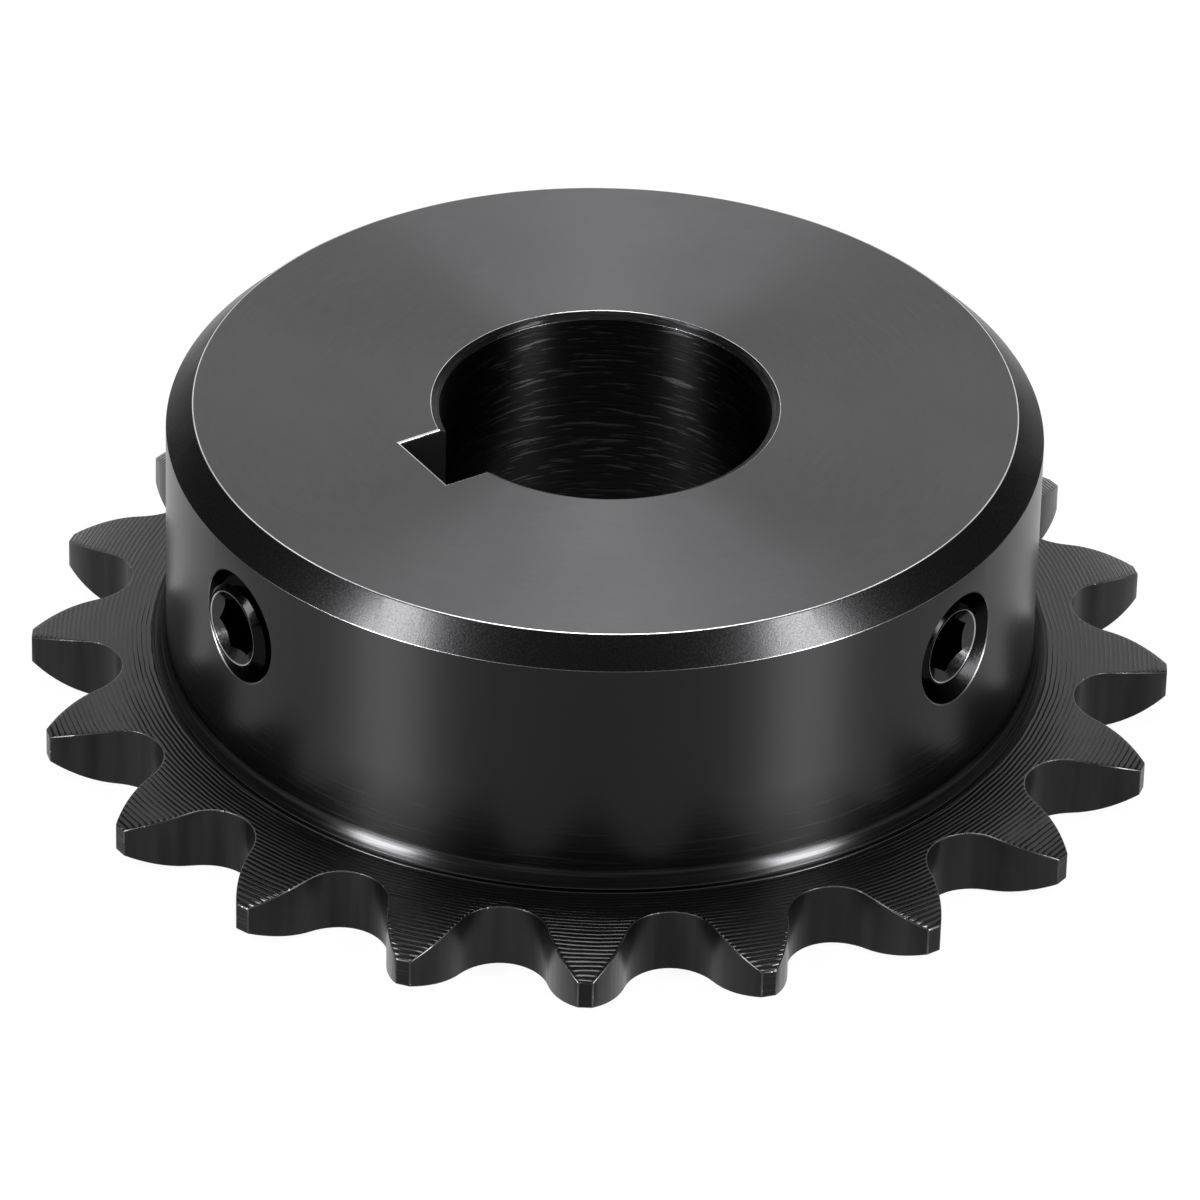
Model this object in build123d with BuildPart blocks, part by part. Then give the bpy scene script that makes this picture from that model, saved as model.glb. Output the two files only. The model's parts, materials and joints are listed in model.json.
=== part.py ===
# Roller chain sprocket with a hub on one side, a keyway and two set screws.
#
# Frame: the axis is Z, z = 0 is the plate's back face and +Z points out of the hub face.
# +X runs through the middle of the keyway. Lengths are millimetres, angles are degrees.

import os
from math import cos, degrees, radians, sin, tan

from build123d import *

# Chain and teeth
tooth_count = 20
chain_pitch = 9.525
roller_diameter = 5.08
seating_clearance = 0.11
tip_land = 0.85
tip_thickness = 1.70
crown_setback = 0.15
tooth_lead = 2.0

# Plate and hub
plate_thickness = 3.9
overall_length = 19.8
hub_to_root = 2.7
hub_chamfer = 1.5
hub_fillet = 0.8
turned_step = 0.06

# Bore and keyway
bore_diameter = 19.0
bore_chamfer_width = 0.5
bore_chamfer_depth = 0.3
keyway_width = 5.0
keyway_depth = 2.75

# Set screws and their tapped holes
thread_diameter = 6.0
thread_clearance = 0.05
hole_countersink = 0.45
countersink_angle = 90.0
screw_setback = 6.2
screw_point_gap = 1.2
teeth_between_screws = 6
key_screw_standout = 0.3
side_screw_standout = -0.4
screw_end_chamfer = 0.6
cup_angle = 120.0
socket_depth = 3.5
socket_drill_angle = 120.0
socket_mouth_rim = 0.15
socket_mouth_angle = 120.0
key_socket_turn = 11.0
side_socket_turn = 22.0

# How far a cutting shape runs past the face that it cuts
overrun = 1.0

# Sizes that follow from the ones above
half_pitch_angle = 180.0 / tooth_count
pitch_radius = chain_pitch / (2 * sin(radians(half_pitch_angle)))
outside_radius = chain_pitch * (0.6 + 1 / tan(radians(half_pitch_angle))) / 2
seating_radius = roller_diameter / 2 + seating_clearance
seating_angle = 140.0 - 90.0 / tooth_count
root_radius = pitch_radius - seating_radius
crown_radius = root_radius + crown_setback
crown_drop = (plate_thickness - tip_thickness) / 2
hub_radius = root_radius - hub_to_root
fillet_foot = plate_thickness + turned_step
bore_radius = bore_diameter / 2
keyway_reach = bore_radius + keyway_depth
hole_radius = thread_diameter / 2
countersunk_radius = hole_radius + hole_countersink
screw_radius = hole_radius - thread_clearance
screw_height = overall_length - screw_setback
screw_length = hub_radius + key_screw_standout - keyway_reach - screw_point_gap
key_screw_angle = tooth_lead
side_screw_angle = tooth_lead + teeth_between_screws * 2 * half_pitch_angle
socket_flats = thread_diameter / 2
cup_radius = thread_diameter / 4


def on_circle(radius, angle):
    """The point at this radius and angle about the axis."""
    return (radius * cos(radians(angle)), radius * sin(radians(angle)))


def facing_out(angle, radius):
    """A plane on the screws' level that faces straight out from the axis."""
    return Plane(
        origin=(*on_circle(radius, angle), screw_height),
        x_dir=(*on_circle(1, angle + 90), 0),
        z_dir=(*on_circle(1, angle), 0),
    )


# One tooth gap, with its middle on +X: the seating arc round the roller's place, and on each
# side one flank arc that leaves it in line and ends on the corner of the tooth tip's land
gap_half_angle = half_pitch_angle - degrees(tip_land / 2 / outside_radius)
with BuildSketch() as gap:
    with BuildLine():
        seat = CenterArc((pitch_radius, 0), seating_radius, 180, -seating_angle / 2)
        flank = TangentArc(seat @ 1, on_circle(outside_radius, gap_half_angle), tangent=seat % 1)
        clear_of_tip = on_circle(outside_radius + overrun, gap_half_angle)
        Polyline(flank @ 1, clear_of_tip, (clear_of_tip[0], 0))
        mirror(about=Plane.XZ)
    make_face()

with BuildPart() as sprocket:
    # The turned blank: crowned plate, fillet, hub and chamfered bore
    with BuildSketch(Plane.XZ):
        with BuildLine():
            Line((bore_radius + bore_chamfer_width, 0), (crown_radius, 0))
            back_crown = TangentArc((crown_radius, 0), (outside_radius, crown_drop), tangent=(1, 0))
            front_crown = TangentArc(
                (crown_radius, plate_thickness),
                (outside_radius, plate_thickness - crown_drop),
                tangent=(1, 0),
            )
            Line(back_crown @ 1, front_crown @ 1)
            step = Polyline(
                (crown_radius, plate_thickness),
                (hub_radius + hub_fillet, plate_thickness),
                (hub_radius + hub_fillet, fillet_foot),
            )
            root_fillet = TangentArc(step @ 1, (hub_radius, fillet_foot + hub_fillet), tangent=(-1, 0))
            Polyline(
                root_fillet @ 1,
                (hub_radius, overall_length - hub_chamfer),
                (hub_radius - hub_chamfer, overall_length),
                (bore_radius + bore_chamfer_width, overall_length),
                (bore_radius, overall_length - bore_chamfer_depth),
                (bore_radius, bore_chamfer_depth),
                (bore_radius + bore_chamfer_width, 0),
            )
        make_face()
    revolve(axis=Axis.Z)

    # Teeth, milled as the gaps between them
    with BuildSketch(Plane.XY.offset(-overrun)):
        with PolarLocations(0, tooth_count, start_angle=tooth_lead + half_pitch_angle):
            add(gap.sketch)
    extrude(amount=plate_thickness + 2 * overrun, mode=Mode.SUBTRACT)

    # Keyway, broached through the bore after its mouths were chamfered
    with BuildSketch(Plane.XY.offset(-overrun)):
        with Locations((keyway_reach / 2, 0)):
            Rectangle(keyway_reach, keyway_width)
    extrude(amount=overall_length + 2 * overrun, mode=Mode.SUBTRACT)

    # Tapped holes: one breaks into the keyway, the other into the bore
    key_hole_depth = hub_radius - keyway_reach + overrun
    with Locations(facing_out(key_screw_angle, hub_radius)):
        CounterSinkHole(hole_radius, countersunk_radius, key_hole_depth, countersink_angle)
    with Locations(facing_out(side_screw_angle, hub_radius)):
        CounterSinkHole(hole_radius, countersunk_radius, hub_radius, countersink_angle)
sprocket.part.label = "sprocket"

os.makedirs("parts", exist_ok=True)
export_step(sprocket.part, "parts/sprocket.step")

# Two like hexagon socket set screws with cup points, each turned to where it stopped
socket_mouth_radius = screw_radius - screw_end_chamfer - socket_mouth_rim
cup_depth = cup_radius / tan(radians(cup_angle / 2))
socket_tip_depth = socket_flats / 2 / tan(radians(socket_drill_angle / 2))
socket_mouth_depth = socket_mouth_radius / tan(radians(socket_mouth_angle / 2))
for name, angle, standout, turn in (
    ("key_set_screw", key_screw_angle, key_screw_standout, key_socket_turn),
    ("side_set_screw", side_screw_angle, side_screw_standout, side_socket_turn),
):
    end_plane = facing_out(angle, hub_radius + standout)
    centre_line = Axis(end_plane.origin, end_plane.z_dir)
    half_section = Plane(end_plane.origin, x_dir=end_plane.x_dir, z_dir=(0, 0, -1))
    with BuildPart() as set_screw:
        # Turned form, from the cup to the socket's chamfered mouth
        with BuildSketch(half_section):
            with BuildLine():
                Polyline(
                    (0, -screw_length + cup_depth),
                    (cup_radius, -screw_length),
                    (screw_radius, -screw_length + screw_radius - cup_radius),
                    (screw_radius, -screw_end_chamfer),
                    (screw_radius - screw_end_chamfer, 0),
                    (socket_mouth_radius, 0),
                    (0, -socket_mouth_depth),
                    close=True,
                )
            make_face()
        revolve(axis=centre_line)

        # Hexagon socket with the drill's cone at its bottom
        with BuildSketch(end_plane):
            RegularPolygon(socket_flats / 2, 6, major_radius=False, rotation=turn)
        extrude(amount=-socket_depth, mode=Mode.SUBTRACT)
        with BuildSketch(half_section):
            with BuildLine():
                Polyline(
                    (0, -socket_depth),
                    (socket_flats / 2, -socket_depth),
                    (0, -socket_depth - socket_tip_depth),
                    close=True,
                )
            make_face()
        revolve(axis=centre_line, mode=Mode.SUBTRACT)
    set_screw.part.label = name
    export_step(set_screw.part, f"parts/{name}.step")
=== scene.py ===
"""A roller chain sprocket with its two set screws: finishes, edges, threads, stage and camera."""
import json
from math import atan2, cos, hypot, pi, radians, sin, sqrt, tan
from types import SimpleNamespace

import bmesh
import bpy
from mathutils import Matrix, Vector


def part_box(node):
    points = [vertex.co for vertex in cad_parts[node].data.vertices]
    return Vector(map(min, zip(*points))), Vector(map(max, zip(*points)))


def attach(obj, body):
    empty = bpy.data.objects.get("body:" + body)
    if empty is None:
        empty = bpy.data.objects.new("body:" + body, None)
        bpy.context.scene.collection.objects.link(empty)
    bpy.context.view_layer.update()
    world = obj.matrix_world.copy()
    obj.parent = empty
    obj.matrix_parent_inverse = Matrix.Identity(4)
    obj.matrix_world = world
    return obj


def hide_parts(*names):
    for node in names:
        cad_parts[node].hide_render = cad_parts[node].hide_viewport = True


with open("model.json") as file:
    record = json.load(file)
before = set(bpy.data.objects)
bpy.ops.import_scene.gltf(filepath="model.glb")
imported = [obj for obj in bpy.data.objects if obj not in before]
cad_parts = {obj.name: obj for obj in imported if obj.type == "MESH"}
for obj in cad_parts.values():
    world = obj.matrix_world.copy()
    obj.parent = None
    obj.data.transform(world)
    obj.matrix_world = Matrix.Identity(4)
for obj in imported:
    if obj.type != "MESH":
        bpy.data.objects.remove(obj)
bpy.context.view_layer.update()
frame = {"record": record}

bl_info = {
    "name": "Chain Sprocket",
    "version": (1, 0, 0),
    "blender": (4, 5, 0),
    "location": "3D View > Sidebar > Sprocket",
    "description": "Finishes a turned and toothed chain sprocket and its set screws",
    "category": "Object",
}

MM = 0.001
MERGE_DISTANCE = 0.001 * MM
SHARP_ANGLE = radians(38)
DRILL_HALF_ANGLE = radians(60)

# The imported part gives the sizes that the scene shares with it
mounts = {mount["name"]: mount for mount in frame["record"]["mounts"]}
sprocket_low, sprocket_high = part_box("sprocket")
BORE_RADIUS = mounts["bore"]["dims"]["r_mm"] * MM
OVERALL_LENGTH = sprocket_high.z - sprocket_low.z

# Surface finishes, in the order of the material slots
FINISHES = (
    "faced",
    "chamfered",
    "turned_side",
    "foot_fillet",
    "turned_plate",
    "hobbed",
    "bored",
    "broached",
    "tapped",
    "rubbed_edge",
    "worn_edge",
    "chamfer_edge",
    "turned_line",
    "mouth_edge",
    "screw_thread",
    "screw_socket",
    "screw_edge",
)


def finish_index(name):
    """The material slot of a finish."""
    return FINISHES.index(name)


def length(name, description, default):
    """A length in metres that the sidebar shows."""
    return bpy.props.FloatProperty(
        name=name, description=description, default=default, unit="LENGTH", precision=5
    )


def angle(name, description, default_degrees):
    """An angle that the sidebar shows in degrees."""
    return bpy.props.FloatProperty(
        name=name, description=description, default=radians(default_degrees), unit="ROTATION"
    )


def share(name, description, default):
    """A plain factor from 0 to 1."""
    return bpy.props.FloatProperty(
        name=name, description=description, default=default, min=0.0, max=1.0, subtype="FACTOR"
    )


def colour(name, description, default):
    """A surface colour."""
    return bpy.props.FloatVectorProperty(
        name=name, description=description, default=default, size=3, min=0.0, max=1.0, subtype="COLOR"
    )


class SprocketSizes(bpy.types.PropertyGroup):
    """Sizes of the teeth, the plate, the hub and the bore."""

    tooth_count: bpy.props.IntProperty(name="Teeth", description="Number of teeth", default=20, min=9)
    chain_pitch: length("Chain pitch", "Distance between two rollers of the chain", 9.525 * MM)
    seating_radius: length("Seating radius", "Radius of the arc that a roller lies in", 2.65 * MM)
    seating_angle: angle("Seating angle", "How far the seating arc reaches round the roller", 135.5)
    tip_land: length("Tip land", "Width of the flat on a tooth's tip", 0.85 * MM)
    tip_thickness: length("Tip thickness", "Thickness of a tooth at its tip", 1.7 * MM)
    crown_setback: length("Crown setback", "How far outside the tooth roots the crown begins", 0.15 * MM)
    tooth_lead: angle("Tooth lead", "Angle from the keyway to the first tooth", 2.0)
    plate_thickness: length("Plate thickness", "Thickness of the toothed plate", 3.9 * MM)
    hub_to_root: length("Hub to root", "Distance from the hub to the tooth roots", 2.7 * MM)
    hub_chamfer: length("Hub chamfer", "Width of the chamfer on the hub's face", 1.5 * MM)
    hub_fillet: length("Hub fillet", "Radius at the foot of the hub", 1.0 * MM)
    fillet_reach: length("Fillet reach", "How far out the fillet runs before its little step", 0.55 * MM)
    foot_ring: length("Foot ring", "How far out the turned ring at the hub's foot runs", 0.8 * MM)
    foot_step: length("Foot step", "Height of the turned ring at the hub's foot", 0.06 * MM)
    bore_chamfer_width: length("Bore chamfer width", "Width of the bore's chamfers", 0.5 * MM)
    bore_chamfer_depth: length("Bore chamfer depth", "Depth of the bore's chamfers", 0.3 * MM)
    keyway_width: length("Keyway width", "Width of the keyway", 5.0 * MM)
    keyway_depth: length("Keyway depth", "Depth of the keyway beyond the bore", 2.75 * MM)
    hub_edge_round: length("Hub edge round", "Rounding of the edge between face and chamfer", 0.18 * MM)
    mouth_edge_round: length("Mouth edge round", "Rounding of the bore's and the keyway's mouths", 0.14 * MM)
    turned_edge_round: length("Turned edge round", "Rounding of the other turned edges", 0.07 * MM)
    tooth_edge_round: length("Tooth edge round", "Rounding along the teeth", 0.06 * MM)


class SetScrewSizes(bpy.types.PropertyGroup):
    """Sizes of the set screws and their tapped holes."""

    thread_radius: length("Thread radius", "Outer radius of the tapped thread", 3.0 * MM)
    thread_pitch: length("Thread pitch", "Distance between two turns", 1.0 * MM)
    thread_depth: length("Thread depth", "Depth of the screw's thread", 0.61 * MM)
    thread_clearance: length("Thread clearance", "Gap between screw and hole", 0.05 * MM)
    core_radius: length("Core radius", "Radius of the drilled hole before it was tapped", 2.55 * MM)
    countersink: length("Countersink", "Width of the countersink at a hole's mouth", 0.45 * MM)
    height: length("Height", "Height of the screws above the back of the plate", 13.6 * MM)
    point_gap: length("Point gap", "Distance from the key screw's point to the keyway", 1.2 * MM)
    key_standout: length("Key screw standout", "How far the key screw stands out of the hub", 0.3 * MM)
    side_standout: length("Side screw standout", "How far the side screw stands out of the hub", -0.4 * MM)
    teeth_between: bpy.props.IntProperty(
        name="Teeth between", description="Teeth from the key screw to the side screw", default=6, min=1
    )
    end_chamfer: length("End chamfer", "Chamfer on a screw's end", 0.6 * MM)
    socket_mouth_rim: length("Socket rim", "Width of the ring round the socket's mouth", 0.15 * MM)
    socket_depth: length("Socket depth", "Depth of the hexagon socket", 3.5 * MM)
    key_turn: angle("Key screw turn", "How far the key screw's socket is turned", 11.0)
    side_turn: angle("Side screw turn", "How far the side screw's socket is turned", 22.0)
    edge_round: length("Edge round", "Rounding of a screw's edges", 0.06 * MM)
    mouth_break: length("Mouth break", "Height of the broken edge round a hole's mouth", 0.05 * MM)


class FinishSettings(bpy.types.PropertyGroup):
    """Colours and gloss of the blackened steel."""

    oxide: colour("Oxide", "Black oxide on the turned faces", (0.055, 0.055, 0.057))
    dark_oxide: colour("Dark oxide", "Black oxide on the hub's side and in the gaps", (0.024, 0.024, 0.025))
    screw_oxide: colour("Screw oxide", "Black oxide on the set screws", (0.04, 0.04, 0.041))
    bare_steel: colour("Bare steel", "Steel where an edge has rubbed through", (0.56, 0.56, 0.57))
    face_roughness: share("Face roughness", "Roughness of the hub's face", 0.33)
    side_roughness: share("Side roughness", "Roughness of the hub's side", 0.50)
    oil_index: bpy.props.FloatProperty(
        name="Oil index", description="How strongly the oil on the hub's side mirrors", default=1.235, min=1.0
    )
    screw_roughness: share("Screw roughness", "Roughness of the set screws", 0.12)
    groove_pitch: length("Groove pitch", "Distance between the turning grooves on the plate", 0.275 * MM)
    groove_depth: length("Groove depth", "Depth of the turning grooves on the plate", 0.036 * MM)


class StageSettings(bpy.types.PropertyGroup):
    """Camera, floor and lights."""

    camera_bearing: angle("Camera bearing", "Where the camera stands, round from the keyway", 56.5)
    camera_elevation: angle("Camera elevation", "How high the camera looks down from", 33.746)
    camera_roll: angle("Camera roll", "How far the camera is turned about its own axis", 1.475)
    camera_distance: length("Camera distance", "Distance from the camera to its target", 592.0 * MM)
    target_height: length("Target height", "Height of the point that the camera looks at", 6.31 * MM)
    target_side: length("Target side", "How far the target lies to the camera's left", 0.036 * MM)
    lens: bpy.props.FloatProperty(name="Lens", description="Focal length in millimetres", default=307.3)
    floor_radius: length("Floor radius", "Radius of the pale floor", 3.6)
    floor_gap: length("Floor gap", "How far the floor lies below the back of the plate", 0.05 * MM)
    backdrop_height: length("Backdrop height", "Height of the low backdrop round the floor", 0.35)
    floor_shade: share("Floor shade", "Reflectance of the floor", 0.7)
    floor_white: share("Floor white", "Share of plain white in the floor as it is seen", 0.92)
    fill: share("Fill", "Level of the plain light from all round", 0.2)


# The usual outside diameter is pitch x (0.6 + cotangent of half the pitch angle)
OUTSIDE_FACTOR = 0.6


def derive(sizes):
    """Radii and heights that follow from the sizes."""
    half_pitch = pi / sizes.tooth_count
    pitch_radius = sizes.chain_pitch / (2 * sin(half_pitch))
    outside_radius = sizes.chain_pitch * (OUTSIDE_FACTOR + 1 / tan(half_pitch)) / 2
    root_radius = pitch_radius - sizes.seating_radius
    return SimpleNamespace(
        half_pitch=half_pitch,
        pitch_radius=pitch_radius,
        outside_radius=outside_radius,
        root_radius=root_radius,
        crown_radius=root_radius + sizes.crown_setback,
        crown_drop=(sizes.plate_thickness - sizes.tip_thickness) / 2,
        hub_radius=root_radius - sizes.hub_to_root,
        keyway_reach=BORE_RADIUS + sizes.keyway_depth,
    )


class Graph:
    """Writes a node tree one step at a time."""

    def __init__(self, tree):
        self.tree = tree

    def node(self, kind, inputs=None, **settings):
        """Adds a node. Its inputs are sockets of other nodes or plain values."""
        made = self.tree.nodes.new(kind)
        for key, value in settings.items():
            setattr(made, key, value)
        for key, value in (inputs or {}).items():
            if isinstance(value, bpy.types.NodeSocket):
                self.tree.links.new(value, made.inputs[key])
            else:
                made.inputs[key].default_value = value
        return made

    def maths(self, operation, *values):
        """One step of arithmetic, in a shader or in geometry nodes."""
        return self.node("ShaderNodeMath", dict(enumerate(values)), operation=operation).outputs[0]

    def vector(self, x, y, z):
        """Joins three numbers to a vector."""
        return self.node("ShaderNodeCombineXYZ", {0: x, 1: y, 2: z}).outputs[0]


def blank_graph(owner):
    """An empty node tree for a material or the world."""
    owner.use_nodes = True
    owner.node_tree.nodes.clear()
    return Graph(owner.node_tree)


def add_object(name, data):
    """Puts a new object with this data into the scene."""
    made = bpy.data.objects.new(name, data)
    bpy.context.scene.collection.objects.link(made)
    return made


def placement(x_axis, y_axis, z_axis, origin):
    """Turns an object's axes to these directions and moves it to the origin given."""
    turn = Matrix((x_axis, y_axis, z_axis)).transposed().to_4x4()
    return Matrix.Translation(origin) @ turn


# Meshes

ROUNDING_STEPS = 4


def rounded(corners):
    """Rounds the corners of a profile.

    A corner is (radius, height, rounding, finish of the rounding, finish of the line after it). The second
    half of a rounding already has the finish of that line. Returns the points and the finish of the line
    that leaves each of them.
    """
    points, finishes = [], []
    for i, (r, z, rounding, edge_finish, finish) in enumerate(corners):
        corner = Vector((r, z))
        if rounding <= 0:
            points.append(corner)
            finishes.append(finish)
            continue
        back = (Vector(corners[i - 1][:2]) - corner).normalized()
        ahead = (Vector(corners[(i + 1) % len(corners)][:2]) - corner).normalized()
        half = back.angle(ahead) / 2
        centre = corner + (back + ahead).normalized() * rounding / sin(half)
        start = corner + back * rounding / tan(half) - centre
        end = corner + ahead * rounding / tan(half) - centre
        for step in range(ROUNDING_STEPS + 1):
            spoke = start.lerp(end, step / ROUNDING_STEPS).normalized() * rounding
            points.append(centre + spoke)
            finishes.append(edge_finish if step < ROUNDING_STEPS / 2 else finish)
    return points, finishes


def mesh_object(name, vertices, faces, finishes):
    """A mesh object with one finish for each face and the full list of materials."""
    mesh = bpy.data.meshes.new(name)
    mesh.from_pydata(vertices, [], faces)
    tag = mesh.attributes.new("finish", "INT", "FACE")
    tag.data.foreach_set("value", [finish_index(f) for f in finishes])
    made = add_object(name, mesh)
    tidy(made)
    adopt_finishes(made)
    return made


def tidy(made):
    """Merges doubled points, drops empty faces and turns the faces outwards."""
    shape = bmesh.new()
    shape.from_mesh(made.data)
    bmesh.ops.remove_doubles(shape, verts=shape.verts, dist=MERGE_DISTANCE)
    bmesh.ops.dissolve_degenerate(shape, edges=shape.edges, dist=MERGE_DISTANCE)
    bmesh.ops.recalc_face_normals(shape, faces=shape.faces)
    shape.to_mesh(made.data)
    shape.free()


def adopt_finishes(made):
    """Gives a mesh the full list of materials and takes each face's slot from its finish."""
    mesh = made.data
    values = [0] * len(mesh.polygons)
    mesh.attributes["finish"].data.foreach_get("value", values)
    mesh.materials.clear()
    for finish in FINISHES:
        mesh.materials.append(bpy.data.materials.get(finish))
    mesh.polygons.foreach_set("material_index", values)


def apply_modifiers(made):
    """Turns what the modifiers make into the object's plain mesh."""
    depsgraph = bpy.context.evaluated_depsgraph_get()
    old = made.data
    made.data = bpy.data.meshes.new_from_object(made.evaluated_get(depsgraph))
    made.modifiers.clear()
    bpy.data.meshes.remove(old)


def combine(made, tool, operation):
    """Cuts the tool out of an object, or keeps only what they share, and deletes the tool."""
    step = made.modifiers.new(operation.lower(), "BOOLEAN")
    step.operation = operation
    step.object = tool
    step.solver = "EXACT"
    step.material_mode = "INDEX"
    apply_modifiers(made)
    bpy.data.objects.remove(tool)
    if not made.data.polygons:
        raise RuntimeError(f"{made.name} has nothing left after {operation}")


def shade(made):
    """Smooth faces with crisp edges, and normals that keep the wide faces flat."""
    made.data.polygons.foreach_set("use_smooth", [True] * len(made.data.polygons))
    made.data.set_sharp_from_angle(angle=SHARP_ANGLE)
    keep_wide_faces_flat(made)
    step = made.modifiers.new("even_normals", "WEIGHTED_NORMAL")
    step.keep_sharp = True
    apply_modifiers(made)


def keep_wide_faces_flat(made):
    """Marks the edges sharp where a broken edge meets the hub's side, its face or a tooth's tip."""
    shape = bmesh.new()
    shape.from_mesh(made.data)
    wide = {finish_index("turned_side"), finish_index("faced")}
    broken = {finish_index("worn_edge"), finish_index("mouth_edge"), finish_index("rubbed_edge")}
    for edge in shape.edges:
        meeting = {face.material_index for face in edge.link_faces}
        if meeting & wide and meeting & broken:
            edge.smooth = False
    shape.to_mesh(made.data)
    shape.free()


def lathe(name, points, finishes, steps):
    """A closed solid of revolution about Z, from a closed profile that may touch the axis."""
    vertices = []
    for step in range(steps):
        turn = 2 * pi * step / steps
        vertices += [(p.x * cos(turn), p.x * sin(turn), p.y) for p in points]
    faces, tags = [], []
    rows = len(points)
    for step in range(steps):
        here, there = step * rows, (step + 1) % steps * rows
        for row in range(rows):
            ahead = (row + 1) % rows
            if max(points[row].x, points[ahead].x) < MERGE_DISTANCE:
                continue
            faces.append((here + row, there + row, there + ahead, here + ahead))
            tags.append(finishes[row])
    return mesh_object(name, vertices, faces, tags)


def prism(name, rings, finishes):
    """A closed solid between rings of points, with the finish of the walls above each ring."""
    sides = len(rings[0])
    vertices = [point for ring in rings for point in ring]
    faces = [tuple(range(sides))]
    tags = [finishes[0]]
    for level in range(len(rings) - 1):
        low, high = level * sides, (level + 1) * sides
        for side in range(sides):
            ahead = (side + 1) % sides
            faces.append((low + side, low + ahead, high + ahead, high + side))
            tags.append(finishes[level])
    faces.append(tuple(range(len(vertices) - sides, len(vertices))))
    tags.append(finishes[-1])
    return mesh_object(name, vertices, faces, tags)


# Geometry node trees

def group_inputs(tree, inputs):
    """Names the inputs of a geometry tree and gives back their sockets."""
    tree.interface.new_socket("Geometry", in_out="OUTPUT", socket_type="NodeSocketGeometry")
    for name, kind in inputs:
        tree.interface.new_socket(name, in_out="INPUT", socket_type=kind)
    return tree.nodes.new("NodeGroupInput").outputs


def set_inputs(modifier, values):
    """Sets a modifier's inputs by their sockets' identifiers."""
    sockets = {
        item.name: item.identifier
        for item in modifier.node_group.interface.items_tree
        if item.item_type == "SOCKET" and item.in_out == "INPUT"
    }
    for name, value in values.items():
        modifier[sockets[name]] = value


def material_chain(graph, geometry):
    """Gives each face the material of its finish."""
    tag = graph.node("GeometryNodeInputNamedAttribute", {"Name": "finish"}, data_type="INT")
    for finish in FINISHES:
        same = graph.node("FunctionNodeCompare", data_type="INT", operation="EQUAL")
        graph.tree.links.new(tag.outputs[0], same.inputs[2])
        same.inputs[3].default_value = finish_index(finish)
        geometry = graph.node(
            "GeometryNodeSetMaterial",
            {"Geometry": geometry, "Selection": same.outputs[0], "Material": bpy.data.materials[finish]},
        ).outputs[0]
    return geometry


def tooth_ring_tree():
    """Repeats one tooth gap's sector round the axis and joins the copies."""
    tree = bpy.data.node_groups.new("tooth_ring", "GeometryNodeTree")
    graph = Graph(tree)
    inputs = group_inputs(
        tree,
        (("Geometry", "NodeSocketGeometry"), ("Teeth", "NodeSocketInt"), ("Start", "NodeSocketFloat")),
    )
    places = graph.node("GeometryNodeMeshLine", {"Count": inputs["Teeth"], "Offset": (0, 0, 0)})
    index = graph.node("GeometryNodeInputIndex").outputs[0]
    part_turn = graph.maths("DIVIDE", index, inputs["Teeth"])
    turn = graph.maths("MULTIPLY_ADD", part_turn, 2 * pi, inputs["Start"])
    rotation = graph.node("FunctionNodeEulerToRotation", {0: graph.vector(0, 0, turn)})
    copies = graph.node(
        "GeometryNodeInstanceOnPoints",
        {"Points": places.outputs[0], "Instance": inputs["Geometry"], "Rotation": rotation.outputs[0]},
    )
    solid = graph.node("GeometryNodeRealizeInstances", {"Geometry": copies.outputs[0]})
    joined = graph.node(
        "GeometryNodeMergeByDistance", {"Geometry": solid.outputs[0], "Distance": MERGE_DISTANCE}
    )
    graph.node("NodeGroupOutput", {0: material_chain(graph, joined.outputs[0])})
    return tree


# Points across one pitch of a thread, and round one turn
THREAD_SAMPLES = 16
THREAD_SEGMENTS = 40
# Where a thread's flank begins and ends, in pitches from the middle of the crest
CREST_END = 1 / 16
ROOT_START = 3 / 8
# Turns that a threaded rod has beyond its two heights
SPARE_TURNS = 3


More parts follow.
